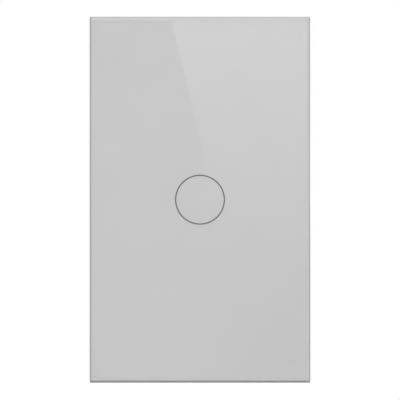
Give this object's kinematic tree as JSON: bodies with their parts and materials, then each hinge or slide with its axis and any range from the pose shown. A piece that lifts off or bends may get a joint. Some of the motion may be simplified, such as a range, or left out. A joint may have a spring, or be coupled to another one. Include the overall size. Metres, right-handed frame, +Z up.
{
  "type": "smart light switch",
  "caption": "Glass touch wall switch for a single wall box, with a clip-on panel, a lit touch ring, a relay and rising-cage wire terminals.",
  "frame": {"origin": "on the wall plane, midway between the two fixing slots", "axes": "+X to the right seen from the front, +Y into the wall, +Z up; the glass faces -Y"},
  "size_m": [0.0724, 0.0366, 0.12],
  "materials": {
    "toughened_glass": "polished",
    "grey_enamel": "screen-printed enamel, seen through glass",
    "ring_ink": "translucent dark ink",
    "tape_foam": "closed-cell foam tape",
    "white_abs": "moulded, fine texture",
    "grey_abs": "moulded, fine texture",
    "white_polycarbonate": "moulded, spark-eroded texture",
    "galvanised_steel": "rolled, zinc plated",
    "zinc_plated_screw": "zinc plated",
    "brass": "stamped",
    "tinned_brass": "tinned",
    "spring_steel": "nickel plated wire",
    "acrylic": "milky, moulded",
    "lamp_resin": "clear resin",
    "circuit_board": "solder mask on glass-fibre board",
    "chip_resin": "moulded epoxy",
    "ceramic_chip": "fired ceramic",
    "tin_plate": "pressed, tin plated",
    "connector_nylon": "moulded nylon",
    "solder": "reflowed",
    "capacitor_box": "moulded box",
    "varistor_coat": "dipped epoxy",
    "fuse_body": "lacquered",
    "capacitor_sleeve": "shrunk sleeve on an aluminium can",
    "ferrite": "sintered",
    "winding_tape": "polyester tape",
    "relay_plastic": "moulded",
    "soft_iron": "nickel plated",
    "spool_nylon": "moulded nylon",
    "copper_winding": "enamelled wire",
    "contact_bronze": "spring strip with silver buttons",
    "terminal_polyamide": "moulded polyamide"
  },
  "bodies": {
    "switch_base": {"mounting_strap": "galvanised_steel", "strap_screws": "zinc_plated_screw", "mounting_frame": "white_abs", "board_cover": "white_abs", "cover_screws": "zinc_plated_screw", "light_guide": "acrylic", "touch_spring": "spring_steel", "sensor_board": "circuit_board", "indicator_leds": "lamp_resin", "touch_chip": "chip_resin", "sensor_passives": "ceramic_chip", "wireless_board": "circuit_board", "wireless_shield": "tin_plate", "board_socket": "connector_nylon", "board_header": "connector_nylon", "header_pins": "tinned_brass", "rear_housing": "white_polycarbonate", "housing_screws": "zinc_plated_screw", "power_board": "circuit_board", "solder_joints": "solder", "film_capacitor": "capacitor_box", "varistor": "varistor_coat", "fuse": "fuse_body", "smoothing_capacitors": "capacitor_sleeve", "transformer_core": "ferrite", "transformer_winding": "winding_tape", "choke": "ferrite", "rectifier": "chip_resin", "relay_case": "relay_plastic", "relay_base": "relay_plastic", "relay_yoke": "soft_iron", "relay_core": "soft_iron", "relay_bobbin": "spool_nylon", "relay_coil": "copper_winding", "relay_fixed_contact": "contact_bronze", "terminal_block": "terminal_polyamide", "terminal_contacts": "tinned_brass"},
    "panel": {"glass_panel": "toughened_glass", "back_paint": "grey_enamel", "touch_ring": "ring_ink", "panel_tape": "tape_foam", "panel_carrier": "grey_abs", "carrier_hooks": "grey_abs"},
    "armature": {"relay_armature": "soft_iron", "relay_moving_contact": "contact_bronze"},
    "cage_1": {"clamp_cage_1": "brass"},
    "screw_1": {"clamp_screw_1": "zinc_plated_screw"},
    "cage_2": {"clamp_cage_2": "brass"},
    "screw_2": {"clamp_screw_2": "zinc_plated_screw"},
    "cage_3": {"clamp_cage_3": "brass"},
    "screw_3": {"clamp_screw_3": "zinc_plated_screw"}
  },
  "joints": [
    {"name": "panel_pull", "type": "slide", "parent": "switch_base", "child": "panel", "axis": [0, -1, 0], "range_m": [0, 0.02], "deforming": ["carrier_hooks", "touch_spring"]},
    {"name": "armature_pivot", "type": "hinge", "parent": "switch_base", "child": "armature", "pos_m": [-0.01145, 0.02052, -0.01625], "axis": [1, 0, 0], "range_deg": [0, 4], "stiffness_Nm_per_rad": 0.002, "springref_deg": -17.19},
    {"name": "screw_turn_1", "type": "hinge", "parent": "switch_base", "child": "screw_1", "pos_m": [-0.0083, 0.0255, -0.02625], "axis": [0, -1, 0], "range_deg": [0, 2305]},
    {"name": "cage_rise_1", "type": "slide", "parent": "switch_base", "child": "cage_1", "axis": [0, 1, 0], "range_m": [0, 0.0032]},
    {"name": "screw_turn_2", "type": "hinge", "parent": "switch_base", "child": "screw_2", "pos_m": [0, 0.0255, -0.02625], "axis": [0, -1, 0], "range_deg": [0, 2305]},
    {"name": "cage_rise_2", "type": "slide", "parent": "switch_base", "child": "cage_2", "axis": [0, 1, 0], "range_m": [0, 0.0032]},
    {"name": "screw_turn_3", "type": "hinge", "parent": "switch_base", "child": "screw_3", "pos_m": [0.0083, 0.0255, -0.02625], "axis": [0, -1, 0], "range_deg": [0, 2305]},
    {"name": "cage_rise_3", "type": "slide", "parent": "switch_base", "child": "cage_3", "axis": [0, 1, 0], "range_m": [0, 0.0032]}
  ],
  "couplings": [
    {"joint": "screw_turn_1", "follows": "cage_rise_1", "rad_per_m": 12566},
    {"joint": "screw_turn_2", "follows": "cage_rise_2", "rad_per_m": 12566},
    {"joint": "screw_turn_3", "follows": "cage_rise_3", "rad_per_m": 12566}
  ]
}
